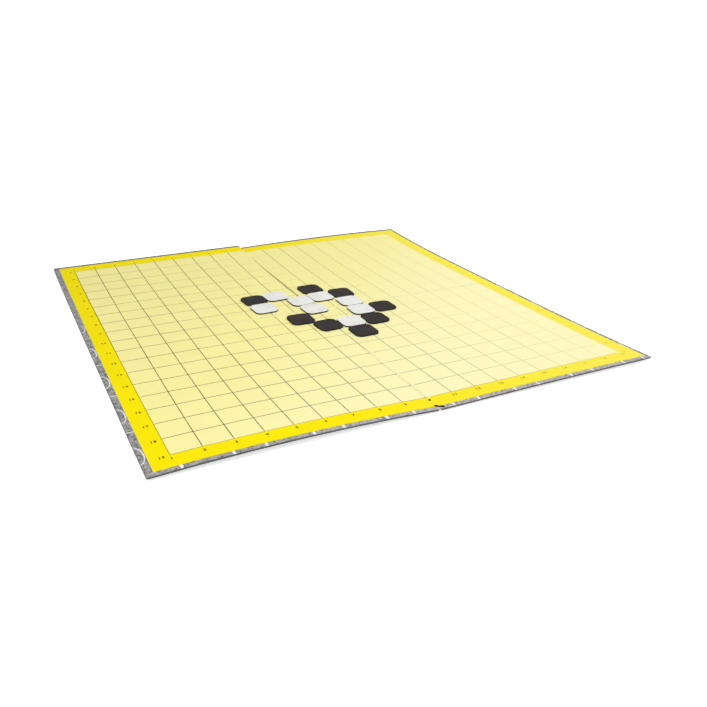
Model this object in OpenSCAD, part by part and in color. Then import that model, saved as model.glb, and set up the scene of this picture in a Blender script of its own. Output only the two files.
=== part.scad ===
// Folding baduk board of four covered card panels, laid open, with sixteen flat magnetic stones on it.
// Origin: middle of the board, on the surface that it lies on. X runs along the front edge, Y to the back.
// Two creases and one slit part the panels: a crease across the whole board, and another that runs from the
// middle to the front edge and goes on to the back edge as the slit.

/* [Board] */
// Side of the square board, over its wrapped edges
board_side = 420; // [380:1:460]
// Radius of the board's corners, seen from above
board_corner_r = 1.5; // [0.5:0.1:4]
// Grey margin of the wrap that shows around the yellow face sheet, if the sheet lay in the middle
grey_margin = 4.4; // [3.5:0.1:8]
// Yellow border for the numbers, between the face sheet's edge and the outermost lines
number_border = 14; // [9:0.1:20]
// How far the face sheet, with its print, is glued to the right of the middle
face_offset = 0.8; // [0:0.1:2]
// How far the wrap is turned in over the face side of the panels
turn_in = 18; // [14:0.5:30]
// How far the wrap is turned in along the slit
slit_turn_in = 6; // [4:0.5:12]
// Distance between two panels along a crease
fold_gap = 3; // [2:0.1:5]
// Width of the slit that parts the two back panels
slit_w = 0.9; // [0.5:0.1:2]

/* [Layers] */
// Thickness of the grey wrap
wrap_t = 0.15; // [0.1:0.01:0.4]
// Thickness of the greyboard panels
greyboard_t = 1; // [0.8:0.05:3]
// Thickness of the yellow face sheet
face_t = 0.12; // [0.08:0.01:0.3]
// Thickness of one layer of printing ink
ink_t = 0.03; // [0.02:0.01:0.06]
// How deep the layers are pressed in along the middle of a crease
crease_depth = 0.1; // [0.02:0.01:0.3]
// Gap around a steel sheet, to the wrap's edge and to the folds
steel_gap = 0.4; // [0.2:0.1:1]

/* [Lie of the board] */
// Half the width of the middle band that lies flat on the table
flat_half = 75; // [60:1:110]
// Rise of the front left corner
front_left_corner_rise = 1.7; // [0:0.1:6]
// Rise of the front right corner
front_right_corner_rise = 2.5; // [0:0.1:6]
// Rise of the front edge at the crease
front_crease_rise = 0.8; // [0:0.1:6]
// Further rise of the front edge in the middle of the left panel
front_left_arch = 3.1; // [0:0.1:6]
// Further rise of the front edge in the middle of the right panel
front_right_arch = 0.5; // [0:0.1:6]
// Rise of the back left corner
back_left_corner_rise = 2.6; // [0:0.1:6]
// Rise of the back right corner
back_right_corner_rise = 3.8; // [0:0.1:6]
// Rise of the back edge on the left of the slit
slit_left_rise = 4.9; // [0:0.1:6]
// Rise of the back edge on the right of the slit
slit_right_rise = 1.8; // [0:0.1:6]
// Further rise of the back edge in the middle of the right panel
back_right_arch = 1.6; // [0:0.1:6]

/* [Lines] */
// Lines in each direction
line_count = 19; // [9:2:19]
// Width of a printed line
line_w = 0.55; // [0.3:0.05:1]

/* [Stones] */
// Side of a stone, a square with round corners
stone_w = 22.7; // [19:0.1:26]
// Radius of a stone's corners, seen from above
stone_corner_r = 5.8; // [4:0.1:8]
// Thickness of the rubber magnet
magnet_t = 1.2; // [0.8:0.1:2]
// Thickness of the film on a stone
film_t = 0.3; // [0.25:0.01:0.5]
// Rounding of a stone's upper edge
edge_r = 0.2; // [0.1:0.01:0.24]
// Usual gap between two stones laid beside each other
lay_gap = 0.8; // [0.7:0.1:3]

/* [Hidden] */
PANELS = ["front_left", "front_right", "back_left", "back_right"];
STONES_PER_SIDE = 8;

// Facets of half the board along an edge, of a curl towards it, and of a stone's corner
EDGE_FACETS = 6;
CURL_FACETS = 5;
CORNER_FACETS = 48;
// Overlap of a cutting shape past the face that it cuts
cut = 1;

half = board_side / 2;
face_half = half - grey_margin;
lines_half = face_half - number_border;
line_pitch = 2 * lines_half / (line_count - 1);
field_half = lines_half + line_w / 2;

// Heights of the layers above the table in the flat band, from the wrap's inside up
z_panel = wrap_t;
z_steel = z_panel + greyboard_t;
z_face = z_steel + wrap_t;
z_field = z_face + face_t;
z_lines = z_field + ink_t;
z_top = z_lines + ink_t;

// How the edge of each panel lies: its rise at the corner, its rise at the fold and its further rise between
FRONT_LEFT_LIE = [front_left_corner_rise, front_crease_rise, front_left_arch];
FRONT_RIGHT_LIE = [front_right_corner_rise, front_crease_rise, front_right_arch];
BACK_LEFT_LIE = [back_left_corner_rise, slit_left_rise, 0];
BACK_RIGHT_LIE = [back_right_corner_rise, slit_right_rise, back_right_arch];
LIES = [FRONT_LEFT_LIE, FRONT_RIGHT_LIE, BACK_LEFT_LIE, BACK_RIGHT_LIE];
// Higher than any point of the board
z_over = z_top + max([for (lie = LIES) lie[0] + lie[1] + lie[2]]) + cut;
// How far from the middle of a crease the layers begin to dip, which is inside the wrap's walls there
press_reach = fold_gap / 2 - wrap_t;

// Where each stone was laid, in steps of one stone and one usual gap, with its turn in degrees
lay_step = stone_w + lay_gap;
BLACK_LAY = [
    [-1.92, 1.78, 3], [0.8, 2.13, 2], [1.84, 1.23, -2], [2.7, -0.8, 0],
    [1.77, -1.83, 1], [0.76, -2.73, 0], [-0.24, -1.74, 5], [-0.97, -0.81, -2]
];
WHITE_LAY = [
    [-0.93, 1.89, 4], [-1.87, 0.79, 3], [-0.17, 0.99, 1], [0.82, 1.14, 3],
    [-0.01, 0, 3], [1.72, 0.23, 0], [1.71, -0.78, -1], [0.77, -1.74, -1]
];

// Outlines seen from above

// A square about the board's middle, whose corners may be rounded
module centred_square(half_side, corner_r = 0) {
    inner = half_side - corner_r;
    translate([-half_side, -inner]) square([2 * half_side, 2 * inner]);
    if (corner_r > 0) {
        translate([-inner, -half_side]) square([2 * inner, 2 * half_side]);
        for (x = [-inner, inner], y = [-inner, inner]) {
            translate([x, y]) circle(r = corner_r, $fn = CORNER_FACETS);
        }
    }
}

module slit(width) {
    translate([-width / 2, 0]) square([width, half + cut]);
}

module creases(width) {
    translate([-half - cut, -width / 2]) square([board_side + 2 * cut, width]);
    translate([-width / 2, -half - cut]) square([width, half + cut]);
}

// A sheet of the whole board with the slit, inset from the board's edges and from the slit's sides. The face
// sheet and its print lie off the middle.
module sheet_outline(inset, slit_inset, offset_x = 0) {
    difference() {
        translate([offset_x, 0]) centred_square(half - inset, max(board_corner_r - inset, 0));
        slit(slit_w + 2 * slit_inset);
    }
}

// All four panels, or what lies on them, inset from the edges, the slit's sides and the folds
module panels_outline(inset, slit_inset, fold_inset) {
    difference() {
        sheet_outline(inset, slit_inset);
        creases(fold_gap + 2 * fold_inset);
    }
}

// The quarter that one panel takes, side and end being -1 or 1
module quarter(side, end) {
    translate([side < 0 ? -half - cut : 0, end < 0 ? -half - cut : 0]) square(half + cut);
}

module line_net() {
    for (i = [0:line_count - 1]) {
        along = -lines_half + i * line_pitch;
        translate([along - line_w / 2, -field_half]) square([line_w, 2 * field_half]);
        translate([-field_half, along - line_w / 2]) square([2 * field_half, line_w]);
    }
}

// The board's lie: a flat band with curled edges, and the pressed creases

// How the edge lies that a place curls towards, side being -1 on the left half and 1 on the right half
function lie(side, end) = side < 0 ? (end < 0 ? FRONT_LEFT_LIE : BACK_LEFT_LIE)
    : (end < 0 ? FRONT_RIGHT_LIE : BACK_RIGHT_LIE);
function edge_rise(lie, along) = lie[0] * along + lie[1] * (1 - along) + lie[2] * 4 * along * (1 - along);
// Height that the curl adds at a place on the board
function curl(side, x, y) = edge_rise(lie(side, y), abs(x) / half)
    * pow(max(abs(y) - flat_half, 0) / (half - flat_half), 2);
// Depth that a crease takes away there. The crease to the front edge ends where the slit begins.
function dip(distance) = crease_depth * max(1 - distance / press_reach, 0);
function press(x, y) = max(dip(abs(y)), y > 0 ? 0 : dip(abs(x)));

// Places of a surface's points. All layers have their facets over the same places, so they stay in contact.
function mirrored(places) = [for (i = [len(places) - 1:-1:0]) -places[i]];
PAST_MIDDLE = concat([0, press_reach], [for (i = [1:EDGE_FACETS]) i * (half + cut) / EDGE_FACETS]);
PAST_FLAT = [for (i = [0:CURL_FACETS]) flat_half + i * (half + cut - flat_half) / CURL_FACETS];
ALONG = concat(mirrored(PAST_FLAT), [-press_reach, 0, press_reach], PAST_FLAT);

// The left or right half of one layer, from the height low to the height high
module half_layer(side, low, high) {
    xs = side < 0 ? mirrored(PAST_MIDDLE) : PAST_MIDDLE;
    last_x = len(xs) - 1;
    last_y = len(ALONG) - 1;
    function at(level, i, j) = (level * len(xs) + i) * len(ALONG) + j;
    // Half of one cell of a surface, or the other half, with its corners clockwise from above
    function cell(level, i, j, other) = other
        ? [at(level, i, j), at(level, i + 1, j + 1), at(level, i + 1, j)]
        : [at(level, i, j), at(level, i, j + 1), at(level, i + 1, j + 1)];
    function turned(face) = [face[0], face[2], face[1]];
    points = [
        for (level = [low, high], x = xs, y = ALONG) [x, y, level + curl(side, x, y) - press(x, y)]
    ];
    upper = [for (i = [0:last_x - 1], j = [0:last_y - 1], other = [false, true]) cell(1, i, j, other)];
    under = [
        for (i = [0:last_x - 1], j = [0:last_y - 1], other = [false, true]) turned(cell(0, i, j, other))
    ];
    ends = [for (i = [0:last_x - 1], back = [false, true])
        back ? [at(0, i, last_y), at(0, i + 1, last_y), at(1, i + 1, last_y), at(1, i, last_y)]
            : [at(0, i, 0), at(1, i, 0), at(1, i + 1, 0), at(0, i + 1, 0)]];
    sides = [for (j = [0:last_y - 1], right = [false, true])
        right ? [at(0, last_x, j), at(1, last_x, j), at(1, last_x, j + 1), at(0, last_x, j + 1)]
            : [at(0, 0, j + 1), at(1, 0, j + 1), at(1, 0, j), at(0, 0, j)]];
    polyhedron(points, concat(upper, under, ends, sides));
}

// One layer of the board over the outline that is given to it
module layer(low, high) {
    intersection() {
        union() {
            half_layer(-1, low, high);
            half_layer(1, low, high);
        }
        plan() children();
    }
}

// The part of one layer that one panel takes
module panel_layer(side, end, low, high) {
    intersection() {
        half_layer(side, low, high);
        plan() intersection() {
            children();
            quarter(side, end);
        }
    }
}

module plan() {
    translate([0, 0, -cut]) linear_extrude(z_over + 2 * cut) children();
}

// Board pieces

// The wrap is one sheet: below the panels, up the edges and the slit's sides, and turned in over the face
// side. Along the creases it is pressed up between the panels, so that the underside has a groove there.
module back_wrap() {
    color("#8e8e90") difference() {
        layer(0, z_face) sheet_outline(0, 0);
        layer(z_panel, z_steel) panels_outline(wrap_t, wrap_t, 0);
        layer((z_panel + z_steel) / 2, z_over) panels_outline(turn_in, slit_turn_in, 0);
        layer(-cut / 2, z_steel) creases(2 * press_reach);
    }
}

module greyboard(side, end) {
    color("#a39c8e") panel_layer(side, end, z_panel, z_steel) panels_outline(wrap_t, wrap_t, 0);
}

// The magnetic stones hold to these sheets, which fill the height of the turned-in wrap
module steel(side, end) {
    color("#b8bcc0") panel_layer(side, end, z_steel, z_face) {
        panels_outline(turn_in + steel_gap, slit_turn_in + steel_gap, steel_gap);
    }
}

module face_sheet() {
    color("#fce80c") layer(z_face, z_field) sheet_outline(grey_margin, 0, face_offset);
}

module printed_field() {
    color("#fdf5b1") layer(z_field, z_lines) sheet_outline(half - field_half, 0, face_offset);
}

module printed_lines() {
    color("#a59f78") layer(z_lines, z_top) difference() {
        translate([face_offset, 0]) line_net();
        slit(slit_w);
    }
}

// Stones

// A flat stone with rounded corners and a rounded upper edge
module chip(low, high, rounding) {
    reach = stone_w / 2;
    inner = reach - stone_corner_r;
    for (turn = [0, 90]) {
        rotate(turn) rotate([90, 0, 0]) linear_extrude(2 * inner, center = true) {
            chip_section(low, high, rounding, reach);
            mirror([1, 0]) chip_section(low, high, rounding, reach);
        }
    }
    for (x = [-inner, inner], y = [-inner, inner]) {
        translate([x, y, 0]) rotate_extrude($fn = CORNER_FACETS) {
            chip_section(low, high, rounding, stone_corner_r);
        }
    }
}

// Half a section through a chip, from its middle to its side
module chip_section(low, high, rounding, reach) {
    if (rounding > 0) {
        translate([0, low]) square([reach, high - rounding - low]);
        translate([0, low]) square([reach - rounding, high - low]);
        intersection() {
            translate([reach - rounding, high - rounding]) circle(r = rounding, $fn = CORNER_FACETS);
            translate([reach - rounding, high - rounding]) square(rounding);
        }
    } else {
        translate([0, low]) square([reach, high - low]);
    }
}

module laid(place) {
    translate([place.x * lay_step, place.y * lay_step, z_top]) rotate(place.z) children();
}

module black_stone(place) {
    color("#2e2a2c") laid(place) chip(0, magnet_t + film_t, edge_r);
}

module white_stone_magnet(place) {
    color("#3a302b") laid(place) chip(0, magnet_t, 0);
}

module white_stone_film(place) {
    color("#e8e8e6") laid(place) chip(magnet_t, magnet_t + film_t, edge_r);
}

back_wrap();
face_sheet();
printed_field();
printed_lines();
greyboard(-1, -1);  // greyboard_front_left
greyboard(1, -1);  // greyboard_front_right
greyboard(-1, 1);  // greyboard_back_left
greyboard(1, 1);  // greyboard_back_right
steel(-1, -1);  // steel_front_left
steel(1, -1);  // steel_front_right
steel(-1, 1);  // steel_back_left
steel(1, 1);  // steel_back_right
for (i = [1:STONES_PER_SIDE]) {
    black_stone(BLACK_LAY[i - 1]);
    white_stone_magnet(WHITE_LAY[i - 1]);
    white_stone_film(WHITE_LAY[i - 1]);
}
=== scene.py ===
"""Looks of a folding baduk board with magnetic stones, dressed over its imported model.

The board lies open: grey wrap, yellow face paper, a pale field with the net of lines, and two creases
and a slit between its four panels. Sizes are in millimetres unless a comment says otherwise.
"""

import logging
import math
import random
from dataclasses import dataclass, field
from enum import Enum

import bmesh
import bpy
from mathutils import Matrix, Vector
from mathutils.bvhtree import BVHTree

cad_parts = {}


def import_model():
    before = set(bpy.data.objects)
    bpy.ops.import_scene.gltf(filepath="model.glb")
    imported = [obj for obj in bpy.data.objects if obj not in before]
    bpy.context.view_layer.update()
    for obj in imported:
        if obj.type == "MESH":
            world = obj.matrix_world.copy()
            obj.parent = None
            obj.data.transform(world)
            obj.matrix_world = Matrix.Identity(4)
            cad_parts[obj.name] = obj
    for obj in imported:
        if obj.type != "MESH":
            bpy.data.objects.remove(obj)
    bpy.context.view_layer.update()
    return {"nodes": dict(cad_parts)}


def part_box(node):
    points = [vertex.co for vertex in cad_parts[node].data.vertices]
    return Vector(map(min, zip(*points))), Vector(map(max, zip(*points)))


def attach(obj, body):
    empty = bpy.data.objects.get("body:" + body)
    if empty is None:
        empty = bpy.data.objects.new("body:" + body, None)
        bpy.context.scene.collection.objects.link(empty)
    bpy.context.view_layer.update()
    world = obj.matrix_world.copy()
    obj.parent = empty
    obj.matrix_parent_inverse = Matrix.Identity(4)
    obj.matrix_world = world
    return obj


LOG = logging.getLogger("baduk_board")
MM = 0.001
BODY = "root"

Colour = tuple[float, float, float, float]
Point = tuple[float, float]
Socket = bpy.types.NodeSocket
Input = float | Socket
# The values at which something is 0 and 1, of which either may be the larger
Ramp = tuple[float, float]


def srgb(red: int, green: int, blue: int) -> Colour:
    """Turns a colour as a screen shows it into the linear colour that a shader takes.

    Args:
        red: Red, from 0 to 255.
        green: Green, from 0 to 255.
        blue: Blue, from 0 to 255.

    Returns:
        The linear colour, opaque.
    """
    def linear(level: int) -> float:
        """Returns one channel as a linear share."""
        share = level / 255
        return share / 12.92 if share <= 0.04045 else ((share + 0.055) / 1.055) ** 2.4

    return (linear(red), linear(green), linear(blue), 1.0)


class Side(Enum):
    """The four sides of the board, each with the turn in degrees that brings the front side there."""

    FRONT = 0
    RIGHT = 90
    BACK = 180
    LEFT = 270

    def matrix(self) -> Matrix:
        """Returns the turn about the board's middle that brings the front side's pieces here."""
        return Matrix.Rotation(math.radians(self.value), 4, "Z")


@dataclass(frozen=True)
class BoardPlan:
    """The board's plan in millimetres, as far as the looks need it, worked out from the model's boxes.

    The face paper and its print lie a little to the right of the board's middle, by print_offset.
    """

    half: float
    face_half: float
    field_half: float
    print_offset: float
    line_w: float
    line_count: int = 19

    @classmethod
    def from_frame(cls, line_w: float = 0.55) -> "BoardPlan":
        """Measures the board.

        Args:
            line_w: Width of a printed line.

        Returns:
            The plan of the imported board.
        """
        left, right = (corner.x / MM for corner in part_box("face_sheet"))
        return cls(
            half=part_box("back_wrap")[1].x / MM,
            face_half=(right - left) / 2,
            field_half=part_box("printed_field")[1].y / MM,
            print_offset=(right + left) / 2,
            line_w=line_w,
        )

    @property
    def lines_half(self) -> float:
        """Distance from the middle of the print to the outermost lines."""
        return self.field_half - self.line_w / 2

    @property
    def pitch(self) -> float:
        """Distance from one line to the next."""
        return 2 * self.lines_half / (self.line_count - 1)

    def margin(self, side: Side) -> float:
        """Returns the width of the grey margin along a side."""
        sideways = {Side.LEFT: 1, Side.RIGHT: -1}.get(side, 0)
        return self.half - self.face_half + sideways * self.print_offset

    def line_place(self, index: int) -> float:
        """Returns a line's place from the middle of the print, counted from 0 at the left or front."""
        return index * self.pitch - self.lines_half


class Lie:
    """The upper surface of the board, which print and wear are laid on. Its sizes are in metres."""

    RAY_START = 0.1
    # A ray that slips through a seam between two faces is sent again a little beside it
    NUDGES = (0.0, 1e-5, -1e-5)

    def __init__(self, nodes: list[bpy.types.Object]) -> None:
        """Reads the nodes' meshes.

        Args:
            nodes: CAD nodes, whose meshes are in place.
        """
        corners = []
        faces = []
        for node in nodes:
            first = len(corners)
            corners += [vertex.co for vertex in node.data.vertices]
            faces += [tuple(first + index for index in face.vertices) for face in node.data.polygons]
        self._tree = BVHTree.FromPolygons(corners, faces)

    def height(self, x: float, y: float) -> float:
        """Finds the surface's height.

        Args:
            x: Place along the front side, in metres.
            y: Place towards the back, in metres.

        Returns:
            The height above the table, in metres.
        """
        for nudge in self.NUDGES:
            start = Vector((x + nudge, y + nudge, self.RAY_START))
            place = self._tree.ray_cast(start, Vector((0, 0, -1)))[0]
            if place is not None:
                return place.z
        raise ValueError(f"nothing lies at {x:.4f}, {y:.4f}")

    def drape(self, mesh: bpy.types.Mesh, clearance: float) -> None:
        """Lays a flat mesh on the surface, at a clearance in millimetres above it."""
        for vertex in mesh.vertices:
            vertex.co.z += self.height(vertex.co.x, vertex.co.y) + clearance * MM


@dataclass(frozen=True)
class Spots:
    """Soft spots: their size, their number of finer layers, and the noise at which they are 0 and 1."""

    size: float
    detail: float
    ramp: Ramp


class Shader:
    """A material's node tree, with short calls for the nodes that the finishes share."""

    def __init__(self, name: str, roughness: float, specular: float) -> None:
        """Makes the material.

        Args:
            name: Name of the material.
            roughness: Roughness of the surface.
            specular: Level of its gloss.
        """
        self.material = bpy.data.materials.new(name)
        self.material.use_nodes = True
        self.tree = self.material.node_tree
        self.surface = self.tree.nodes["Principled BSDF"]
        self.surface.inputs["Roughness"].default_value = roughness
        self.surface.inputs["Specular IOR Level"].default_value = specular

    def add(self, kind: str, **settings: object) -> bpy.types.ShaderNode:
        """Adds a node.

        Args:
            kind: The node's type.
            **settings: Values for the node's own properties.

        Returns:
            The node.
        """
        node = self.tree.nodes.new(kind)
        for name, value in settings.items():
            setattr(node, name, value)
        return node

    def feed(self, target: Socket, value: Input) -> None:
        """Links a socket to a value's socket, or sets it to a plain number.

        Args:
            target: The socket that takes the value.
            value: A socket or a number.
        """
        if isinstance(value, Socket):
            self.tree.links.new(value, target)
        else:
            target.default_value = value

    def math(self, operation: str, first: Input, second: Input = 0.0, clamp: bool = False) -> Socket:
        """Adds a Math node.

        Args:
            operation: Its operation.
            first: The first value.
            second: The second value.
            clamp: Whether the result is kept between 0 and 1.

        Returns:
            The result's socket.
        """
        node = self.add("ShaderNodeMath", operation=operation, use_clamp=clamp)
        self.feed(node.inputs[0], first)
        self.feed(node.inputs[1], second)
        return node.outputs[0]

    def times(self, *values: Input) -> Socket:
        """Multiplies values.

        Args:
            *values: Two or more values.

        Returns:
            The product's socket.
        """
        product = values[0]
        for value in values[1:]:
            product = self.math("MULTIPLY", product, value)
        return product

    def most(self, *values: Input) -> Socket:
        """Picks the largest of some values.

        Args:
            *values: Two or more values.

        Returns:
            The largest value's socket.
        """
        largest = values[0]
        for value in values[1:]:
            largest = self.math("MAXIMUM", largest, value)
        return largest

    def size(self, value: Input) -> Socket:
        """Returns a value without its sign."""
        return self.math("ABSOLUTE", value)

    def position(self) -> Socket:
        """Reads the place on the object.

        Returns:
            Its socket, in millimetres.
        """
        coordinates = self.add("ShaderNodeTexCoord")
        scale = self.add("ShaderNodeVectorMath", operation="SCALE")
        self.feed(scale.inputs[0], coordinates.outputs["Object"])
        scale.inputs["Scale"].default_value = 1 / MM
        return scale.outputs[0]

    def axes(self, position: Socket) -> tuple[Socket, ...]:
        """Splits a place into its three axes.

        Args:
            position: The place.

        Returns:
            A socket for each axis.
        """
        node = self.add("ShaderNodeSeparateXYZ")
        self.feed(node.inputs[0], position)
        return tuple(node.outputs)

    def noise(self, position: Socket, size: float, detail: float = 2.0) -> Socket:
        """Adds noise.

        Args:
            position: Place in millimetres.
            size: Size of its larger spots, in millimetres.
            detail: Number of finer layers.

        Returns:
            The noise, from 0 to 1 about a half.
        """
        node = self.add("ShaderNodeTexNoise")
        self.feed(node.inputs["Vector"], position)
        node.inputs["Scale"].default_value = 1 / size
        node.inputs["Detail"].default_value = detail
        return node.outputs["Fac"]

    def spread(self, value: Input, low: float, high: float) -> Socket:
        """Stretches the range from low to high over 0 to 1, smoothly and kept inside it.

        Args:
            value: The value.
            low: What becomes 0. It may be above high, which turns the range round.
            high: What becomes 1.

        Returns:
            The stretched value's socket.
        """
        node = self.add("ShaderNodeMapRange", interpolation_type="SMOOTHSTEP")
        self.feed(node.inputs["Value"], value)
        node.inputs["From Min"].default_value = low
        node.inputs["From Max"].default_value = high
        return node.outputs["Result"]

    def spots(self, position: Socket, spots: Spots) -> Socket:
        """Returns soft spots at a place, from 0 to 1."""
        return self.spread(self.noise(position, spots.size, spots.detail), *spots.ramp)

    def repeated(self, along: Socket, middle: float, period: float) -> Socket:
        """Returns how far a place is past the nearest of evenly spaced marks, one of them at middle."""
        shifted = self.math("SUBTRACT", along, middle - period / 2)
        return self.math("SUBTRACT", self.math("FLOORED_MODULO", shifted, period), period / 2)

    def blend(self, share: Input, base: Colour | Socket, other: Colour) -> Socket:
        """Mixes two colours.

        Args:
            share: Share of the other colour.
            base: The base colour, or its socket.
            other: The other colour.

        Returns:
            The mixed colour's socket.
        """
        node = self.add("ShaderNodeMix", data_type="RGBA")
        self.feed(node.inputs[0], share)
        self.feed(node.inputs[6], base)
        self.feed(node.inputs[7], other)
        return node.outputs[2]

    def tint(self, colour: Socket) -> None:
        """Gives the surface its colour."""
        self.feed(self.surface.inputs["Base Color"], colour)

    def bump(self, height: Socket, depth: float) -> None:
        """Gives the surface a relief.

        Args:
            height: The relief, from 0 to 1.
            depth: Its depth in millimetres.
        """
        node = self.add("ShaderNodeBump")
        node.inputs["Distance"].default_value = depth * MM
        self.feed(node.inputs["Height"], height)
        self.feed(self.surface.inputs["Normal"], node.outputs["Normal"])


def crease_nearness(shader: Shader, position: Socket, reach: float) -> Socket:
    """Tells how near a place is to the board's creases.

    Args:
        shader: The material that asks.
        position: Place in millimetres.
        reach: Distance from a crease at which its wear ends.

    Returns:
        A socket, 1 on a crease and 0 beyond its reach.
    """
    x, y, _ = shader.axes(position)
    across = shader.spread(shader.size(y), reach, 0.0)
    front_half = shader.spread(y, reach, 0.0)
    along = shader.times(shader.spread(shader.size(x), reach, 0.0), front_half)
    return shader.most(across, along)


@dataclass(frozen=True)
class Fading:
    """A gradient across the board, from a start at the left to an end at the right: faded print on the
    inks, and a painted sheen on the face paper and field.

    The slope is how far both move to the right for each millimetre towards the back.
    """

    slope: float
    start: float
    end: float

    def share(self, shader: Shader, position: Socket) -> Socket:
        """Tells how far a place lies along the gradient: how much print has faded on the inks, and how
        much painted sheen pales the paper.

        Args:
            shader: The material that asks.
            position: Place in millimetres.

        Returns:
            A socket, 0 at the start, where print is fresh and paper has no painted sheen, and 1 past the
            end.
        """
        x, y, _ = shader.axes(position)
        along = shader.math("SUBTRACT", x, shader.times(y, self.slope))
        return shader.spread(along, self.start, self.end)


# The face paper and the field pale towards the right front: painted sheen, the paper's gloss painted
# into its colour
FIELD_SHEEN = Fading(slope=0.945, start=-75.0, end=225.0)
BORDER_SHEEN = Fading(slope=0.1, start=-60.0, end=300.0)
LINE_FADING = Fading(slope=0.0, start=-100.0, end=245.0)
ROW_FADING = Fading(slope=-0.45, start=-225.0, end=170.0)
NUMBER_FADING = Fading(slope=-0.45, start=-150.0, end=200.0)
# The white pattern fades from the middle of the sides to the back
PATTERN_FADING = Fading(slope=-10.0, start=-50.0, end=500.0)


@dataclass(frozen=True)
class PrintedPaper:
    """Printed face paper: a flat colour with faint clouds, paper fibres, wear along the creases, and a
    painted sheen that pales it towards the right front.
    """

    name: str
    colour: Colour
    # The paler colour of the painted sheen towards the right front
    faded: Colour
    shade: Colour
    worn: Colour
    fading: Fading
    worn_share: float
    roughness: float = 0.6
    specular: float = 0.04
    fibre: float = 0.9
    fibre_detail: float = 4.0
    speck_ramp: Ramp = (0.62, 0.74)
    speck_share: float = 0.25
    clouds: Spots = Spots(42.0, 2.0, (0.35, 0.7))
    cloud_share: float = 0.4
    patches: Spots = Spots(2.4, 3.0, (0.42, 0.6))
    crease_reach: float = 1.6
    crease_sink: float = 2.0
    relief: float = 0.02

    def material(self) -> bpy.types.Material:
        """Builds the paper's material.

        Returns:
            The material.
        """
        shader = Shader(self.name, self.roughness, self.specular)
        position = shader.position()
        clouds = shader.times(shader.spots(position, self.clouds), self.cloud_share)
        colour = shader.blend(clouds, self.colour, self.shade)
        # Painted sheen: the paper pales along its gradient towards the right front
        colour = shader.blend(self.fading.share(shader, position), colour, self.faded)
        fibres = shader.noise(position, self.fibre, self.fibre_detail)
        specks = shader.times(shader.spread(fibres, *self.speck_ramp), self.speck_share)
        colour = shader.blend(specks, colour, self.shade)
        nearness = crease_nearness(shader, position, self.crease_reach)
        wear = shader.times(nearness, shader.spots(position, self.patches), self.worn_share)
        colour = shader.blend(wear, colour, self.worn)
        shader.tint(colour)
        sunk = shader.math("SUBTRACT", fibres, shader.times(nearness, self.crease_sink))
        shader.bump(sunk, self.relief)
        return shader.material


@dataclass(frozen=True)
class LineInk:
    """Dark line ink, which has faded with the paper and rubbed off where the board folds most."""

    plan: BoardPlan
    name: str = "line_ink"
    colour: Colour = srgb(20, 16, 0)
    light: Colour = srgb(36, 31, 0)
    faded: Colour = srgb(245, 237, 154)
    rubbed: Colour = srgb(238, 230, 178)
    outer: Colour = srgb(215, 190, 60)
    outer_share: float = 0.6
    outer_right: Ramp = (160.0, -60.0)
    outer_back: Ramp = (60.0, -120.0)
    row_core: float = 0.6
    roughness: float = 0.7
    specular: float = 0.04
    mottle: Spots = Spots(3.0, 4.0, (0.4, 0.65))
    crease_reach: float = 2.6
    rub_right: float = 1.9
    rub_ramp: Ramp = (0.1, 0.5)
    rub_spot: float = 1.8
    rub_least: float = 0.7
    rub_range: float = 0.5
    # The lines on the creases are whole at the left side and near the middle
    whole_left: Ramp = (-118.0, -84.0)
    whole_front: Ramp = (-18.0, -3.0)
    worn_front: Ramp = (-88.0, -112.0)
    relief: float = 0.01

    def _on_rows(self, shader: Shader, position: Socket) -> Socket:
        """Marks the lines that run from left to right, which have faded more than the others.

        Args:
            shader: The material.
            position: Place in millimetres.

        Returns:
            A socket, 1 on such a line and 0 between two of them.
        """
        y = shader.axes(position)[1]
        off = shader.size(shader.repeated(y, self.plan.lines_half, self.plan.pitch))
        return shader.spread(off, self.plan.line_w, self.plan.line_w * self.row_core)

    def _on_outline(self, shader: Shader, position: Socket) -> Socket:
        """Marks the outermost lines, which are browner than the others at the front left.

        Args:
            shader: The material.
            position: Place in millimetres.

        Returns:
            A socket, 0 on the other lines.
        """
        x, y, _ = shader.axes(position)
        out = shader.most(shader.size(x), shader.size(y))
        inner = self.plan.lines_half - self.plan.print_offset - self.plan.line_w
        outline = shader.spread(out, inner - self.plan.line_w, inner)
        left = shader.spread(x, *self.outer_right)
        front = shader.spread(y, *self.outer_back)
        return shader.times(outline, left, front, self.outer_share)

    def _rubbed(self, shader: Shader, position: Socket) -> Socket:
        """Marks where the lines along the creases have rubbed off.

        Args:
            shader: The material.
            position: Place in millimetres.

        Returns:
            A socket, 1 where the ink has gone.
        """
        shifted = shader.add("ShaderNodeVectorMath", operation="SUBTRACT")
        shader.feed(shifted.inputs[0], position)
        shifted.inputs[1].default_value = (self.rub_right, 0, 0)
        nearness = crease_nearness(shader, shifted.outputs[0], self.crease_reach)
        nearness = shader.spread(nearness, *self.rub_ramp)
        x, y, _ = shader.axes(position)
        across = shader.times(shader.spread(x, *self.whole_left), shader.spread(y, *self.whole_front))
        used = shader.most(across, shader.spread(y, *self.worn_front))
        spots = shader.times(shader.noise(position, self.rub_spot), self.rub_range)
        rub = shader.math("ADD", spots, self.rub_least)
        return shader.math("MULTIPLY", shader.times(nearness, used), rub, clamp=True)

    def material(self) -> bpy.types.Material:
        """Builds the ink's material.

        Returns:
            The material.
        """
        shader = Shader(self.name, self.roughness, self.specular)
        position = shader.position()
        mottle = shader.spots(position, self.mottle)
        colour = shader.blend(mottle, self.colour, self.light)
        rows = shader.times(self._on_rows(shader, position), ROW_FADING.share(shader, position))
        faded = shader.most(LINE_FADING.share(shader, position), rows)
        colour = shader.blend(faded, colour, self.faded)
        colour = shader.blend(self._on_outline(shader, position), colour, self.outer)
        colour = shader.blend(self._rubbed(shader, position), colour, self.rubbed)
        shader.tint(colour)
        shader.bump(mottle, self.relief)
        return shader.material


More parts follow.
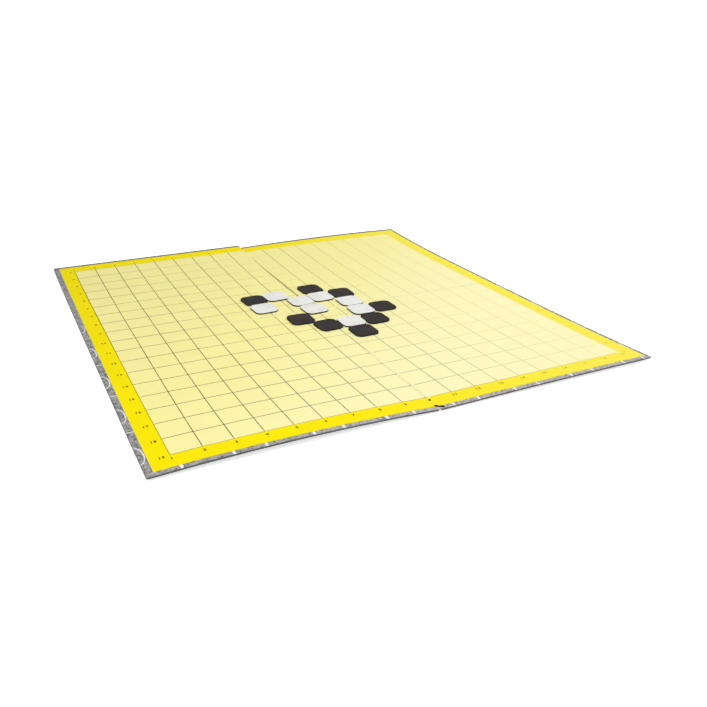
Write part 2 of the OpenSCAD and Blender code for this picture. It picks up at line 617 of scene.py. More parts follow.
@dataclass(frozen=True)
class Lattice:
    """The wrap's white pattern, in millimetres: single lines one way, pairs the other, and rings."""

    period: float = 55.6
    line_w: float = 0.8
    pair_w: float = 2.0
    cross_start: float = 14.0
    pair_start: float = -209.7
    pair_gap: float = 21.9
    ring_size: Point = (7.4, 20.0)
    ring_after: float = 31.2
    ring_in: float = 0.9

    def stations(self, start: float, half: float, keep_off: float = 2.0) -> list[float]:
        """Lists the places of one repeated line along a side of the board.

        Args:
            start: Place of any one of the lines.
            half: Half the side.
            keep_off: How far a line keeps from the side's ends.

        Returns:
            The places, from the lowest.
        """
        first = start - math.floor((start + half - keep_off) / self.period) * self.period
        count = math.floor((half - keep_off - first) / self.period) + 1
        return [first + index * self.period for index in range(count)]


@dataclass(frozen=True)
class WrapPaper:
    """Grey patterned wrap paper: mottled print, painted shade on the side walls where it bends round the
    edges and on the back margin, a painted highlight on the lower rim of the front wall, and rubbing
    with a painted highlight on the front margin.
    """

    lattice: Lattice
    half: float
    name: str = "grey_wrap"
    colour: Colour = srgb(150, 149, 147)
    shade: Colour = srgb(104, 102, 104)
    pale: Colour = srgb(204, 205, 200)
    # Paler grey of the front margin: rubbing, with a painted highlight where the front edge faces the
    # lamps
    scuffed: Colour = srgb(198, 194, 192)
    white: Colour = srgb(232, 233, 234)
    # Painted shade: the dark tone of the side walls and the back margin
    edge: Colour = srgb(96, 95, 98)
    # The pale colour of the painted highlight on the lower rim of the front wall
    frayed: Colour = srgb(214, 213, 212)
    roughness: float = 0.55
    specular: float = 0.1
    mottle: Spots = Spots(3.2, 3.0, (0.42, 0.6))
    grain: Spots = Spots(1.4, 3.0, (0.48, 0.66))
    grain_share: float = 0.7
    # How far from the board's edge the front and back margins start and are whole
    margin_ramp: Ramp = (6.0, 4.6)
    # The back margin is darkened as painted shade
    back_share: float = 0.8
    # Hands rub the front margin, most from its middle to the right, and its paler patches also carry a
    # painted highlight where the front edge faces the lamps
    scuffs: Spots = Spots(1.8, 3.0, (0.6, 0.42))
    scuffed_right: Ramp = (-170.0, 20.0)
    scuffed_least: float = 0.4
    scuffed_range: float = 0.5
    # How far from its edge the bend starts and is whole
    bend_ramp: Ramp = (0.35, 0.1)
    # The side walls, where the wrap bends round the edge, are darkened as painted shade
    bend_share: float = 0.92
    # The lower rim of the front wall is painted pale as a painted highlight, least at the right end of
    # the front
    frayed_low: Ramp = (0.85, 0.6)
    frayed_front: Ramp = (0.0, -40.0)
    frayed_left: Ramp = (150.0, 90.0)
    frayed_share: float = 0.85
    print_wear: Spots = Spots(3.4, 4.0, (0.3, 0.5))
    print_soft: float = 0.08
    ring_soft: float = 0.3
    # The upward part of a face's normal, by which the underside is told from the margins
    downward: Ramp = (-0.4, -0.6)
    relief: float = 0.02

    def _lines(self, shader: Shader, along: Socket, start: float) -> Socket:
        """Marks lines that repeat along one axis.

        Args:
            shader: The material.
            along: The axis, in millimetres.
            start: Place of any one of the lines.

        Returns:
            A socket, 1 on a line and 0 off it.
        """
        off = shader.size(shader.repeated(along, start, self.lattice.period))
        half_w = self.lattice.line_w / 2
        return shader.spread(off, half_w + self.print_soft, half_w - self.print_soft)

    def _rings(self, shader: Shader, x: Socket, y: Socket) -> Socket:
        """Marks one long ring in each cell of the lattice.

        Args:
            shader: The material.
            x: Place from left to right, in millimetres.
            y: Place from front to back, in millimetres.

        Returns:
            A socket, 1 on a ring and 0 off it.
        """
        lattice = self.lattice
        half_along = lattice.ring_size[1] / 2
        centre = (lattice.ring_in - self.half, lattice.cross_start - lattice.ring_after)
        squares = []
        for axis, middle, size in zip((x, y), centre, lattice.ring_size):
            share = shader.math("DIVIDE", shader.repeated(axis, middle, lattice.period), size / 2)
            squares.append(shader.times(share, share))
        radius = shader.times(shader.math("SQRT", shader.math("ADD", *squares)), half_along)
        off = shader.size(shader.math("SUBTRACT", radius, half_along))
        return shader.spread(off, lattice.line_w + self.ring_soft, lattice.line_w)

    def _pattern(self, shader: Shader, position: Socket) -> Socket:
        """Marks the print on the underside. The upper side's own lines are pieces of ink.

        Args:
            shader: The material.
            position: Place in millimetres.

        Returns:
            A socket, 1 on the underside's lines and rings.
        """
        x, y, _ = shader.axes(position)
        lattice = self.lattice
        marks = shader.most(
            self._lines(shader, y, lattice.cross_start),
            self._lines(shader, x, lattice.pair_start),
            self._lines(shader, x, lattice.pair_start + lattice.pair_gap),
            self._rings(shader, x, y),
        )
        upward = shader.axes(shader.add("ShaderNodeTexCoord").outputs["Normal"])[2]
        return shader.times(marks, shader.spread(upward, *self.downward))

    def _scuffed(self, shader: Shader, position: Socket) -> Socket:
        """Marks the paler patches of the front margin: rubbing by hands, with a painted highlight where
        the front edge faces the lamps.

        Args:
            shader: The material.
            position: Place in millimetres.

        Returns:
            A socket, 0 where the margin keeps its own grey.
        """
        x, y, _ = shader.axes(position)
        front = shader.spread(y, *(reach - self.half for reach in self.margin_ramp))
        more = shader.times(shader.spread(x, *self.scuffed_right), self.scuffed_range)
        rubbing = shader.math("ADD", more, self.scuffed_least)
        return shader.times(front, shader.spots(position, self.scuffs), rubbing)

    def _frayed(self, shader: Shader, position: Socket, bend: Socket) -> Socket:
        """Marks the lower rim of the front wall, where a painted highlight pales it.

        Args:
            shader: The material.
            position: Place in millimetres.
            bend: A socket, 1 where the wrap bends round the edge.

        Returns:
            A socket, 0 where no highlight is painted.
        """
        x, y, z = shader.axes(position)
        low = shader.spread(z, *self.frayed_low)
        front = shader.spread(y, *self.frayed_front)
        left = shader.spread(x, *self.frayed_left)
        return shader.times(low, front, left, bend, self.frayed_share)

    def material(self) -> bpy.types.Material:
        """Builds the wrap's material.

        Returns:
            The material.
        """
        shader = Shader(self.name, self.roughness, self.specular)
        position = shader.position()
        x, y, _ = shader.axes(position)
        colour = shader.blend(shader.spots(position, self.mottle), self.colour, self.shade)
        grain = shader.spots(position, self.grain)
        colour = shader.blend(shader.times(grain, self.grain_share), colour, self.pale)
        # Rubbing and painted highlight: paler patches on the front margin
        colour = shader.blend(self._scuffed(shader, position), colour, self.scuffed)
        # Painted shade: the back margin darkens towards the edge tone
        back = shader.spread(y, *(self.half - reach for reach in self.margin_ramp))
        colour = shader.blend(shader.times(back, self.back_share), colour, self.edge)
        # Painted shade: the side walls, where the wrap bends round the edge, darken towards the edge
        # tone
        out = shader.most(shader.size(x), shader.size(y))
        bend = shader.spread(out, *(self.half - reach for reach in self.bend_ramp))
        colour = shader.blend(shader.times(bend, self.bend_share), colour, self.edge)
        # Painted highlight: the lower rim of the front wall turns pale
        colour = shader.blend(self._frayed(shader, position, bend), colour, self.frayed)
        wear = shader.spots(position, self.print_wear)
        printed = shader.times(self._pattern(shader, position), wear)
        colour = shader.blend(printed, colour, self.white)
        shader.tint(colour)
        shader.bump(grain, self.relief)
        return shader.material


@dataclass(frozen=True)
class PlainInk:
    """A small printed mark or stain with a little mottle, which may fade across the board."""

    name: str
    colour: Colour
    light: Colour
    faded: Colour | None = None
    fading: Fading = NUMBER_FADING
    roughness: float = 0.7
    specular: float = 0.04
    mottle: Spots = Spots(0.8, 3.0, (0.4, 0.65))
    relief: float = 0.01

    def material(self) -> bpy.types.Material:
        """Builds the ink's material.

        Returns:
            The material.
        """
        shader = Shader(self.name, self.roughness, self.specular)
        position = shader.position()
        mottle = shader.spots(position, self.mottle)
        colour = shader.blend(mottle, self.colour, self.light)
        if self.faded:
            colour = shader.blend(self.fading.share(shader, position), colour, self.faded)
        shader.tint(colour)
        shader.bump(mottle, self.relief)
        return shader.material


@dataclass(frozen=True)
class DustyFace:
    """Rubber or film of a stone, or card: fine grain, soft clouds and pale dust."""

    name: str
    colour: Colour
    shade: Colour
    dust: Colour
    roughness: float
    specular: float
    dust_share: float = 0.35
    clouds: Spots = Spots(9.0, 3.0, (0.35, 0.65))
    specks: Spots = Spots(0.9, 4.0, (0.6, 0.78))
    grain: float = 0.5
    grain_detail: float = 3.0
    relief: float = 0.02

    def material(self) -> bpy.types.Material:
        """Builds the surface's material.

        Returns:
            The material.
        """
        shader = Shader(self.name, self.roughness, self.specular)
        position = shader.position()
        colour = shader.blend(shader.spots(position, self.clouds), self.colour, self.shade)
        dust = shader.times(shader.spots(position, self.specks), self.dust_share)
        colour = shader.blend(dust, colour, self.dust)
        shader.tint(colour)
        shader.bump(shader.noise(position, self.grain, self.grain_detail), self.relief)
        return shader.material


@dataclass(frozen=True)
class Metal:
    """Thin tinned sheet steel."""

    name: str = "steel_sheet"
    colour: Colour = srgb(184, 188, 192)
    stain: Colour = srgb(150, 152, 155)
    roughness: float = 0.35
    specular: float = 0.5
    stains: Spots = Spots(12.0, 4.0, (0.4, 0.7))

    def material(self) -> bpy.types.Material:
        """Builds the steel's material.

        Returns:
            The material.
        """
        shader = Shader(self.name, self.roughness, self.specular)
        shader.surface.inputs["Metallic"].default_value = 1.0
        stains = shader.spots(shader.position(), self.stains)
        shader.tint(shader.blend(stains, self.colour, self.stain))
        return shader.material


class MeshTree:
    """A Geometry Nodes tree with named inputs, which takes a mesh and gives one back."""

    def __init__(self, name: str, inputs: dict[str, str]) -> None:
        """Makes the tree with its two ends.

        Args:
            name: Name of the tree.
            inputs: Kind of socket for each input other than the geometry.
        """
        self.tree = bpy.data.node_groups.new(name, "GeometryNodeTree")
        sockets = [("Geometry", "Geometry", "INPUT")]
        sockets += [(label, kind, "INPUT") for label, kind in inputs.items()]
        sockets.append(("Geometry", "Geometry", "OUTPUT"))
        for label, kind, end in sockets:
            self.tree.interface.new_socket(label, in_out=end, socket_type=f"NodeSocket{kind}")
        self.enter = self.add("NodeGroupInput").outputs
        self.leave = self.add("NodeGroupOutput").inputs

    def add(self, kind: str, **settings: object) -> bpy.types.Node:
        """Adds a node.

        Args:
            kind: The node's type.
            **settings: Values for the node's own properties.

        Returns:
            The node.
        """
        node = self.tree.nodes.new(kind)
        for name, value in settings.items():
            setattr(node, name, value)
        return node

    def link(self, *links: tuple[Socket, Socket]) -> None:
        """Links sockets, each pair from its source to its target."""
        for source, target in links:
            self.tree.links.new(source, target)

    def put_on(self, piece: bpy.types.Object, values: dict[str, object]) -> None:
        """Gives a piece the tree as a modifier.

        Args:
            piece: The piece.
            values: Value for each input by its name.
        """
        modifier = piece.modifiers.new(self.tree.name, "NODES")
        modifier.node_group = self.tree
        for item in self.tree.interface.items_tree:
            if item.in_out == "INPUT" and item.name in values:
                modifier[item.identifier] = values[item.name]


class Piece:
    """Calls that finish a piece of the scene: its material and its body."""

    @staticmethod
    def link(name: str, mesh: bpy.types.Mesh) -> bpy.types.Object:
        """Makes an object of a mesh and links it to the scene.

        Args:
            name: Name of the piece.
            mesh: Its mesh, in place.

        Returns:
            The object.
        """
        piece = bpy.data.objects.new(name, mesh)
        bpy.context.scene.collection.objects.link(piece)
        return piece

    @staticmethod
    def paint(piece: bpy.types.Object, material: bpy.types.Material) -> None:
        """Gives a piece one material all over."""
        piece.data.materials.clear()
        piece.data.materials.append(material)

    @staticmethod
    def finish(piece: bpy.types.Object, material: bpy.types.Material, slot: str) -> bpy.types.Object:
        """Dresses a piece and lets it ride on the board.

        Args:
            piece: The piece.
            material: Its material.
            slot: Name of a material slot for its finish. Not used.

        Returns:
            The piece.
        """
        Piece.paint(piece, material)
        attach(piece, BODY)
        LOG.info("%s: %d faces", piece.name, len(piece.data.polygons))
        return piece

    @staticmethod
    def solid_from(parts: list[bmesh.types.BMesh], name: str) -> bpy.types.Mesh:
        """Joins several meshes into one.

        Args:
            parts: The meshes, which are freed.
            name: Name of the joined mesh.

        Returns:
            The mesh.
        """
        joined = bmesh.new()
        for part in parts:
            piece = bpy.data.meshes.new(name)
            part.to_mesh(piece)
            part.free()
            joined.from_mesh(piece)
            bpy.data.meshes.remove(piece)
        mesh = bpy.data.meshes.new(name)
        joined.to_mesh(mesh)
        joined.free()
        return mesh


def slab(outline: list[Point], thickness: float) -> bmesh.types.BMesh:
    """Builds a thin closed plate from its outline.

    Args:
        outline: Corners in millimetres, anticlockwise from above.
        thickness: Thickness in millimetres, above height 0.

    Returns:
        The plate, in metres.
    """
    plate = bmesh.new()
    base = [plate.verts.new((x * MM, y * MM, 0)) for x, y in outline]
    top = [plate.verts.new((x * MM, y * MM, thickness * MM)) for x, y in outline]
    plate.faces.new(top)
    plate.faces.new(list(reversed(base)))
    count = len(outline)
    for index in range(count):
        after = (index + 1) % count
        plate.faces.new((base[index], base[after], top[after], top[index]))
    return plate


@dataclass
class Numbers:
    """The numbers 1 to 19 on the yellow border, along all four sides."""

    plan: BoardPlan
    lie: Lie
    ink: bpy.types.Material
    digit_h: float = 3.0
    digit_step: float = 2.4
    digit_facets: int = 3
    weight: float = 0.045
    row_out: float = 4.3
    column_out: float = 4.5
    column_drop: float = 1.0
    slit_step: float = 3.0
    # The number that the torn front end of the crease has taken away
    worn_index: int = 9
    thickness: float = 0.012
    clearance: float = 0.012
    _digits: dict[str, bpy.types.Mesh] = field(default_factory=dict)

    def _digit(self, character: str) -> bpy.types.Mesh:
        """Makes the mesh of one digit, centred on the origin and as high as the digits are.

        Args:
            character: The digit.

        Returns:
            The mesh, in metres.
        """
        if character not in self._digits:
            curve = bpy.data.curves.new(f"digit_{character}", "FONT")
            curve.body = character
            curve.align_x = "CENTER"
            curve.resolution_u = self.digit_facets
            curve.offset = self.weight
            curve.extrude = half_depth = 0.5
            text = bpy.data.objects.new(curve.name, curve)
            bpy.context.scene.collection.objects.link(text)
            graph = bpy.context.evaluated_depsgraph_get()
            mesh = bpy.data.meshes.new_from_object(text.evaluated_get(graph))
            bpy.data.objects.remove(text)
            bpy.data.curves.remove(curve)
            heights = [vertex.co.y for vertex in mesh.vertices]
            low, high = min(heights), max(heights)
            scale = self.digit_h * MM / (high - low)
            flatten = self.thickness * MM / (2 * half_depth)
            mesh.transform(Matrix.Translation((0, -(high + low) / 2, half_depth)))
            mesh.transform(Matrix.Diagonal((scale, scale, flatten, 1)))
            self._digits[character] = mesh
        return self._digits[character]

    def _number(self, value: int, x: float, y: float, units_first: bool) -> list[bmesh.types.BMesh]:
        """Sets one number flat at its place.

        Args:
            value: The number.
            x: Place of its middle, or of its last digit, in millimetres from the middle of the print.
            y: Place of its middle, in millimetres.
            units_first: Whether x is the place of the last digit.

        Returns:
            One mesh for each digit.
        """
        digits = []
        characters = str(value)
        x += self.plan.print_offset
        step = self.digit_step
        if abs(x) < self.digit_step:
            # This number has its digits on either side of the slit
            x = 0.0
            step = self.slit_step
        last = len(characters) - 1
        for index, character in enumerate(characters):
            shift = (index - (last if units_first else last / 2)) * step
            digit = bmesh.new()
            digit.from_mesh(self._digit(character))
            digit.transform(Matrix.Translation(((x + shift) * MM, y * MM, 0)))
            digits.append(digit)
        return digits

    def build(self) -> bpy.types.Object:
        """Builds all the numbers as one piece.

        Returns:
            The piece.
        """
        parts = []
        row_y = self.plan.lines_half + self.row_out
        column_x = self.plan.lines_half + self.column_out
        for index in range(self.plan.line_count):
            along = self.plan.line_place(index)
            if index != self.worn_index:
                parts += self._number(index + 1, along, -row_y, False)
            parts += self._number(index + 1, along, row_y, False)
            value = self.plan.line_count - index
            parts += self._number(value, -column_x, along - self.column_drop, True)
            parts += self._number(value, column_x, along - self.column_drop, False)
        mesh = Piece.solid_from(parts, "border_numbers")
        self.lie.drape(mesh, self.clearance)
        return Piece.finish(Piece.link("border_numbers", mesh), self.ink, "line_ink")


@dataclass
class WrapPrint:
    """The white lines and arcs on the wrap's grey margin, repeated along each side by a node tree."""

    plan: BoardPlan
    lattice: Lattice
    lie: Lie
    ink: bpy.types.Material
    thickness: float = 0.012
    clearance: float = 0.012
    edge_gap: float = 0.1
    arc_steps: int = 18

    def _cross_line(self, margin: float, width: float) -> bmesh.types.BMesh:
        """Makes a line across a margin at the front, from the outer edge to the face paper.

        Args:
            margin: Width of the margin.
            width: Width of the line.

        Returns:
            The line, flat.
        """
        left, right = -width / 2, width / 2
        outer = self.edge_gap - self.plan.half
        inner = margin - self.edge_gap - self.plan.half
        outline = [(left, outer), (right, outer), (right, inner), (left, inner)]
        return slab(outline, self.thickness)

    def _arc(self, margin: float) -> bmesh.types.BMesh:
        """Makes the part of a long ring that a margin at the front shows.

        Args:
            margin: Width of the margin, which the arc stays within.

        Returns:
            The arc, flat.
        """
        across, along = (size / 2 for size in self.lattice.ring_size)
        inset = min(self.lattice.ring_in, margin - self.lattice.line_w - across)
        centre_y = inset - self.plan.half
        reach = math.acos((self.edge_gap - inset) / across)
        outline = []
        for side, order in ((-1, 1), (1, -1)):
            wider = side * self.lattice.line_w / 2
            for step in range(self.arc_steps + 1):
                turn = order * reach * (2 * step / self.arc_steps - 1)
                x = (along + wider) * math.sin(turn)
                y = centre_y + (across + wider) * math.cos(turn)
                outline.append((x, max(y, self.edge_gap - self.plan.half)))
        return slab(outline, self.thickness)

    @staticmethod
    def _repeat_tree() -> MeshTree:
        """Builds the node tree that repeats a motif along a side.

        Returns:
            The tree, with inputs Count, Step, Start and Ink.
        """
        inputs = {"Count": "Int", "Step": "Float", "Start": "Float", "Ink": "Material"}
        tree = MeshTree("repeat_along_side", inputs)
        line = tree.add("GeometryNodeMeshLine")
        starts = tree.add("ShaderNodeCombineXYZ")
        steps = tree.add("ShaderNodeCombineXYZ")
        instances = tree.add("GeometryNodeInstanceOnPoints")
        realize = tree.add("GeometryNodeRealizeInstances")
        dress = tree.add("GeometryNodeSetMaterial")
        tree.link(
            (tree.enter["Start"], starts.inputs["X"]),
            (tree.enter["Step"], steps.inputs["X"]),
            (tree.enter["Count"], line.inputs["Count"]),
            (starts.outputs[0], line.inputs["Start Location"]),
            (steps.outputs[0], line.inputs["Offset"]),
            (line.outputs["Mesh"], instances.inputs["Points"]),
            (tree.enter["Geometry"], instances.inputs["Instance"]),
            (instances.outputs["Instances"], realize.inputs["Geometry"]),
            (realize.outputs["Geometry"], dress.inputs["Geometry"]),
            (tree.enter["Ink"], dress.inputs["Material"]),
            (dress.outputs["Geometry"], tree.leave["Geometry"]),
        )
        return tree

    def _repeated(
        self, tree: MeshTree, motif: bmesh.types.BMesh, places: list[float], side: Side
    ) -> bmesh.types.BMesh:
        """Repeats a motif of the front side along a side.

        Args:
            tree: The node tree that repeats it.
            motif: The motif, at the middle of the front side. It is freed.
            places: Where it goes along the front side, in even steps.
            side: The side that the row is for.

        Returns:
            The row of motifs, in place.
        """
        mesh = bpy.data.meshes.new("motif")
        motif.to_mesh(mesh)
        motif.free()
        carrier = Piece.link("motif", mesh)
        step = self.lattice.period * MM
        values = {"Count": len(places), "Step": step, "Start": places[0] * MM, "Ink": self.ink}
        tree.put_on(carrier, values)
        graph = bpy.context.evaluated_depsgraph_get()
        result = bpy.data.meshes.new_from_object(carrier.evaluated_get(graph))
        bpy.data.objects.remove(carrier)
        row = bmesh.new()
        row.from_mesh(result)
        row.transform(side.matrix())
        return row

    def build(self) -> bpy.types.Object:
        """Builds the print of all four margins as one piece.

        Returns:
            The piece.
        """
        tree = self._repeat_tree()
        lattice = self.lattice
        half = self.plan.half
        rows = []
        for side in (Side.FRONT, Side.BACK):
            run = 1 if side is Side.FRONT else -1
            for start in (lattice.pair_start, lattice.pair_start + lattice.pair_gap):
                line = self._cross_line(self.plan.margin(side), lattice.pair_w)
                places = lattice.stations(run * start, half)
                rows.append(self._repeated(tree, line, places, side))
        for side in (Side.LEFT, Side.RIGHT):
            # Turned into place, the left side's row runs from the back to the front
            run = 1 if side is Side.RIGHT else -1
            margin = self.plan.margin(side)
            line = self._cross_line(margin, lattice.line_w)
            places = lattice.stations(run * lattice.cross_start, half)
            rows.append(self._repeated(tree, line, places, side))
            arc_start = run * (lattice.cross_start - lattice.ring_after)
            places = lattice.stations(arc_start, half, keep_off=lattice.ring_size[1] / 2)
            rows.append(self._repeated(tree, self._arc(margin), places, side))
        mesh = Piece.solid_from(rows, "wrap_print")
        self.lie.drape(mesh, self.clearance)
        return Piece.finish(Piece.link("wrap_print", mesh), self.ink, "grey_wrap")


@dataclass
class FoldWear:
    """Marks of use where the board folds: the torn front end of a crease and a few stains."""

    plan: BoardPlan
    lie: Lie
    torn: bpy.types.Material
    thickness: float = 0.012
    clearance: float = 0.014
    # Loose ink has gathered where the foremost lines cross the crease to the front edge
    stub_count: int = 4
    stub_x: float = -0.5
    stub_size: Point = (2.6, 0.9)
    stub_turn: float = 12.0
    corners: int = 14
    rag: tuple[float, float] = (0.72, 1.15)
    seed: int = 7

    def _blot(self, rng: random.Random, place: Point, size: Point, turn: float) -> bmesh.types.BMesh:
        """Makes one ragged mark.

        Args:
            rng: Source of the ragged outline.
            place: Its middle, in millimetres.
            size: Its length and width, in millimetres.
            turn: Turn of its length from the front side, in degrees.

        Returns:
            The mark, flat.
        """
        outline = []
        for index in range(self.corners):
            angle = 2 * math.pi * index / self.corners
            rag = rng.uniform(*self.rag)
            outline.append((rag * size[0] / 2 * math.cos(angle), rag * size[1] / 2 * math.sin(angle)))
        mark = slab(outline, self.thickness)
        mark.transform(Matrix.Rotation(math.radians(turn), 4, "Z"))
        mark.transform(Matrix.Translation((place[0] * MM, place[1] * MM, 0)))
        return mark

    def build(self) -> bpy.types.Object:
        """Builds the marks.

        Returns:
            The piece.
        """
        rng = random.Random(self.seed)
        edge = -self.plan.face_half
        # Each mark's middle, its length and width, and the turn of its length
        blots = [
            ((-0.1, edge + 0.5), (5.0, 3.3), -38),
            ((3.1, edge - 1.6), (4.8, 3.0), -30),
            ((0.2, edge + 10.2), (2.4, 3.2), -20),
            ((-1.0, edge + 14.4), (1.8, 0.8), 10),
            ((129.5, 4.0), (1.1, 0.9), 0),
            ((150.0, 4.0), (1.1, 0.8), 0),
        ]
        for index in range(1, self.stub_count + 1):
            place = (self.stub_x, self.plan.line_place(index))
            blots.append((place, self.stub_size, self.stub_turn))
        marks = [self._blot(rng, place, size, turn) for place, size, turn in blots]
        mesh = Piece.solid_from(marks, "fold_tears")
        self.lie.drape(mesh, self.clearance)
        return Piece.finish(Piece.link("fold_tears", mesh), self.torn, "line_ink")


@dataclass
class Board:
    """The folding board: its wrap, panels, steel sheets, face paper and print."""

    nodes: dict[str, bpy.types.Object]
    plan: BoardPlan
    lattice: Lattice = Lattice()
    # The angle in degrees below which facets are shaded as one, and the gap in metres that is closed
    smooth_below: float = 3.0
    merge_below: float = 1e-6

    def _smooth_tree(self) -> MeshTree:
        """Builds the node tree that shades the board's shallow facets as one smooth surface.

        Returns:
            The tree, with the input Angle.
        """
        tree = MeshTree("smooth_curl", {"Angle": "Float"})
        merge = tree.add("GeometryNodeMergeByDistance")
        merge.inputs["Distance"].default_value = self.merge_below
        angle = tree.add("GeometryNodeInputMeshEdgeAngle")
        sharp = tree.add("FunctionNodeCompare", data_type="FLOAT", operation="GREATER_THAN")
        faces = tree.add("GeometryNodeSetShadeSmooth", domain="FACE")
        edges = tree.add("GeometryNodeSetShadeSmooth", domain="EDGE")
        edges.inputs["Shade Smooth"].default_value = False
        tree.link(
            (tree.enter["Geometry"], merge.inputs["Geometry"]),
            (merge.outputs["Geometry"], faces.inputs["Geometry"]),
            (faces.outputs["Geometry"], edges.inputs["Geometry"]),
            (angle.outputs["Unsigned Angle"], sharp.inputs["A"]),
            (tree.enter["Angle"], sharp.inputs["B"]),
            (sharp.outputs["Result"], edges.inputs["Selection"]),
            (edges.outputs["Geometry"], tree.leave["Geometry"]),
        )
        return tree

    def dress(self) -> None:
        """Gives each node of the board its finish."""
        finishes = {
            "back_wrap": WrapPaper(self.lattice, self.plan.half).material(),
            "face_sheet": PrintedPaper(
                "yellow_paper",
                colour=srgb(253, 234, 0),
                # The paler yellow of the painted sheen towards the right
                faded=srgb(251, 237, 88),
                shade=srgb(249, 226, 8),
                worn=srgb(255, 240, 110),
                fading=BORDER_SHEEN,
                worn_share=0.3,
            ).material(),
            "printed_field": PrintedPaper(
                "field_ink",
                colour=srgb(252, 244, 164),
                # The paler field colour of the painted sheen towards the right front
                faded=srgb(254, 247, 193),
                shade=srgb(249, 239, 156),
                worn=srgb(232, 225, 174),
                fading=FIELD_SHEEN,
                worn_share=0.75,
                crease_reach=2.4,
            ).material(),
            "printed_lines": LineInk(self.plan).material(),
        }
        card = DustyFace(
            "greyboard",
            colour=srgb(163, 156, 142),
            shade=srgb(150, 143, 130),
            dust=srgb(190, 184, 172),
            roughness=0.8,
            specular=0.1,
        ).material()
        steel = Metal().material()
        for name, node in self.nodes.items():
            if name.startswith("greyboard"):
                finishes[name] = card
            elif name.startswith("steel"):
                finishes[name] = steel
        smooth = self._smooth_tree()
        for name, material in finishes.items():
            node = self.nodes[name]
            Piece.paint(node, material)
            smooth.put_on(node, {"Angle": math.radians(self.smooth_below)})
            LOG.info("%s dressed", name)

    def build(self) -> None:
        """Dresses the board and lays its print and wear on it."""
        self.dress()
        lie = Lie([self.nodes["back_wrap"], self.nodes["face_sheet"], self.nodes["printed_field"]])
        brown = PlainInk("number_ink", srgb(96, 74, 4), srgb(122, 96, 8), faded=srgb(240, 224, 72))
        white = PlainInk(
            "pattern_ink",
            srgb(246, 247, 248),
            srgb(222, 224, 224),
            faded=srgb(150, 150, 148),
            fading=PATTERN_FADING,
            mottle=Spots(1.6, 3.0, (0.4, 0.65)),
        )
        black = PlainInk("torn_print", srgb(14, 11, 6), srgb(30, 24, 12))
        Numbers(self.plan, lie, brown.material()).build()
        WrapPrint(self.plan, self.lattice, lie, white.material()).build()
        FoldWear(self.plan, lie, black.material()).build()


@dataclass
class Stones:
    """The magnetic stones that lie on the board."""

    nodes: dict[str, bpy.types.Object]

    def build(self) -> None:
        """Gives each stone its finish."""
        rubber = DustyFace(
            "black_rubber",
            colour=srgb(57, 53, 51),
            shade=srgb(48, 44, 43),
            dust=srgb(88, 83, 80),
            roughness=0.75,
            specular=0.06,
            dust_share=0.2,
        ).material()
        # The magnet rubber's own dark brown, made darker still: partly painted shade on the white
        # stones' sides
        magnet = DustyFace(
            "magnet_rubber",
            colour=srgb(30, 23, 20),
            shade=srgb(20, 16, 14),
            dust=srgb(56, 48, 44),
            roughness=0.75,
            specular=0.06,
            dust_share=0.2,
        ).material()
        film = DustyFace(
            "white_film",
            colour=srgb(240, 240, 235),
            shade=srgb(231, 230, 226),
            dust=srgb(196, 191, 190),
            roughness=0.55,
            specular=0.1,
            dust_share=0.4,
        ).material()
        for name, node in self.nodes.items():
            if name.startswith("black_stone"):
                material = rubber
            elif name.endswith("_magnet"):
                material = magnet
            elif name.endswith("_film"):
                material = film
            else:
                continue
            Piece.paint(node, material)
            LOG.info("%s dressed", name)


@dataclass(frozen=True)
class SoftLamp:
    """A square soft lamp, aimed at the middle of the board, in metres and watts."""

    name: str
    place: tuple[float, float, float]
    power: float
    size: float = 0.6

    def build(self) -> None:
        """Hangs the lamp."""
        data = bpy.data.lights.new(self.name, "AREA")
        data.energy = self.power
        data.shape = "SQUARE"
        data.size = self.size
        lamp = bpy.data.objects.new(self.name, data)
        lamp.location = self.place
        lamp.rotation_euler = (-Vector(self.place)).to_track_quat("-Z", "Y").to_euler()
        bpy.context.scene.collection.objects.link(lamp)


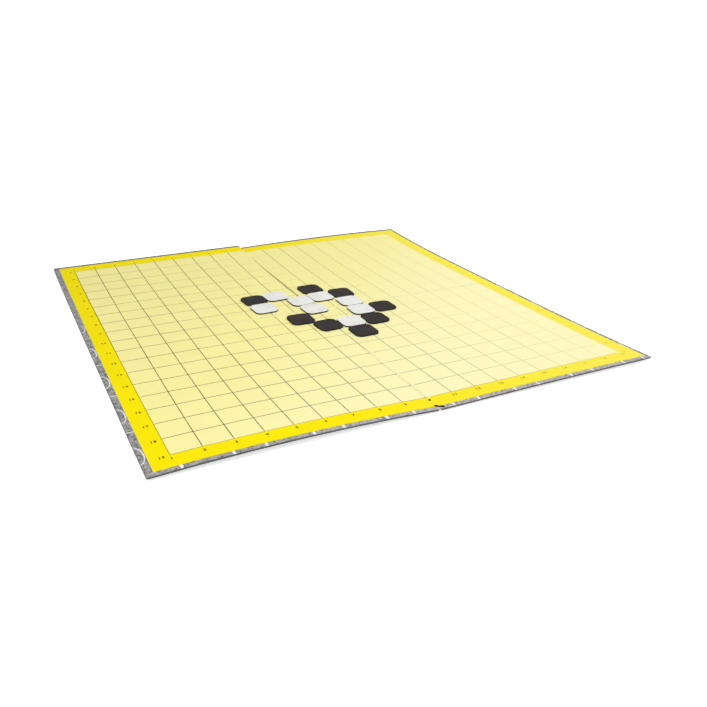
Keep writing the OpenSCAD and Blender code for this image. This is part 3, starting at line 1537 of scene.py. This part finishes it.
@dataclass(frozen=True)
class Studio:
    """The camera at the photograph's angle, soft lamps and a plain white floor, with sizes in metres."""

    camera_place: tuple[float, float, float] = (-0.28154, -0.58409, 0.25915)
    camera_turn: tuple[float, float, float] = (68.4199, -1.1443, -25.7372)
    lens: float = 37.3525
    sensor: float = 36.0
    shift: Point = (0.04757, -0.06403)
    clip_start: float = 0.01
    floor_half: float = 6.0
    floor_t: float = 0.001
    floor_drop: float = 0.0006
    floor_colour: Colour = srgb(244, 244, 244)
    floor_roughness: float = 0.9
    sky: float = 0.4
    lamps: tuple[SoftLamp, ...] = (
        SoftLamp("front_lamp", (-0.3, -0.5, 0.8), 4.5),
        SoftLamp("right_lamp", (0.5, 0.1, 0.6), 2.15),
    )
    floor_glow: float = 0.64
    # Distances from the middle of the board between which its shadow on the floor ends
    shadow_reach: Ramp = (0.34, 0.6)

    def _camera(self) -> None:
        """Places the camera."""
        data = bpy.data.cameras.new("camera")
        data.lens = self.lens
        data.sensor_width = self.sensor
        data.sensor_fit = "HORIZONTAL"
        data.shift_x, data.shift_y = self.shift
        data.clip_start = self.clip_start
        camera = bpy.data.objects.new("camera", data)
        camera.location = self.camera_place
        camera.rotation_euler = [math.radians(turn) for turn in self.camera_turn]
        bpy.context.scene.collection.objects.link(camera)
        bpy.context.scene.camera = camera

    @staticmethod
    def _shown_rays(tree: bpy.types.NodeTree) -> Socket:
        """Marks the rays that show the backdrop: the camera's own and those off gloss or through glass.

        Args:
            tree: The node tree that asks.

        Returns:
            A socket, 1 for such a ray and 0 for a ray that only carries light.
        """
        path = tree.nodes.new("ShaderNodeLightPath")
        shown = path.outputs["Is Camera Ray"]
        for kind in ("Is Glossy Ray", "Is Transmission Ray"):
            both = tree.nodes.new("ShaderNodeMath")
            both.operation = "MAXIMUM"
            tree.links.new(shown, both.inputs[0])
            tree.links.new(path.outputs[kind], both.inputs[1])
            shown = both.outputs[0]
        return shown

    def _world(self) -> None:
        """Lights the board evenly from all sides, while the backdrop itself shows white."""
        world = bpy.data.worlds.new("studio")
        world.use_nodes = True
        tree = world.node_tree
        sky = tree.nodes["Background"]
        sky.inputs["Color"].default_value = (1, 1, 1, 1)
        sky.inputs["Strength"].default_value = self.sky
        white = tree.nodes.new("ShaderNodeBackground")
        white.inputs["Color"].default_value = (1, 1, 1, 1)
        white.inputs["Strength"].default_value = 1.0
        mix = tree.nodes.new("ShaderNodeMixShader")
        tree.links.new(self._shown_rays(tree), mix.inputs[0])
        tree.links.new(sky.outputs[0], mix.inputs[1])
        tree.links.new(white.outputs[0], mix.inputs[2])
        tree.links.new(mix.outputs[0], tree.nodes["World Output"].inputs[0])
        bpy.context.scene.world = world

    def _floor(self) -> None:
        """Lays the floor, white to the camera and with the board's soft shadow on it."""
        reach = self.floor_half / MM
        corners = [(-reach, -reach), (reach, -reach), (reach, reach), (-reach, reach)]
        sheet = slab(corners, self.floor_t / MM)
        sheet.transform(Matrix.Translation((0, 0, -self.floor_drop - self.floor_t)))
        mesh = Piece.solid_from([sheet], "floor")
        floor = Piece.link("floor", mesh)
        shader = Shader("floor", self.floor_roughness, 0.0)
        shader.surface.inputs["Base Color"].default_value = self.floor_colour
        glow = shader.add("ShaderNodeEmission")
        glow.inputs["Strength"].default_value = self.floor_glow
        near = shader.add("ShaderNodeAddShader")
        shader.feed(near.inputs[0], shader.surface.outputs[0])
        shader.feed(near.inputs[1], glow.outputs[0])
        # Away from the board, where its shadow ends, the floor is plain white
        white = shader.add("ShaderNodeEmission")
        distance = shader.add("ShaderNodeVectorMath", operation="LENGTH")
        shader.feed(distance.inputs[0], shader.position())
        ends = (reach / MM for reach in self.shadow_reach)
        far_share = shader.spread(distance.outputs["Value"], *ends)
        seen = shader.add("ShaderNodeMixShader")
        shader.feed(seen.inputs[0], far_share)
        shader.feed(seen.inputs[1], near.outputs[0])
        shader.feed(seen.inputs[2], white.outputs[0])
        choice = shader.add("ShaderNodeMixShader")
        shader.feed(choice.inputs[0], self._shown_rays(shader.tree))
        shader.feed(choice.inputs[1], shader.surface.outputs[0])
        shader.feed(choice.inputs[2], seen.outputs[0])
        shader.feed(shader.tree.nodes["Material Output"].inputs["Surface"], choice.outputs[0])
        mesh.materials.append(shader.material)

    def build(self) -> None:
        """Sets the studio up."""
        bpy.context.scene.view_settings.view_transform = "Standard"
        self._camera()
        self._world()
        for lamp in self.lamps:
            lamp.build()
        self._floor()


def main() -> None:
    """Builds the scene in order."""
    logging.basicConfig(level=logging.INFO)
    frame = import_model()
    Studio().build()
    Board(frame["nodes"], BoardPlan.from_frame()).build()
    Stones(frame["nodes"]).build()


if __name__ == "__main__":
    main()
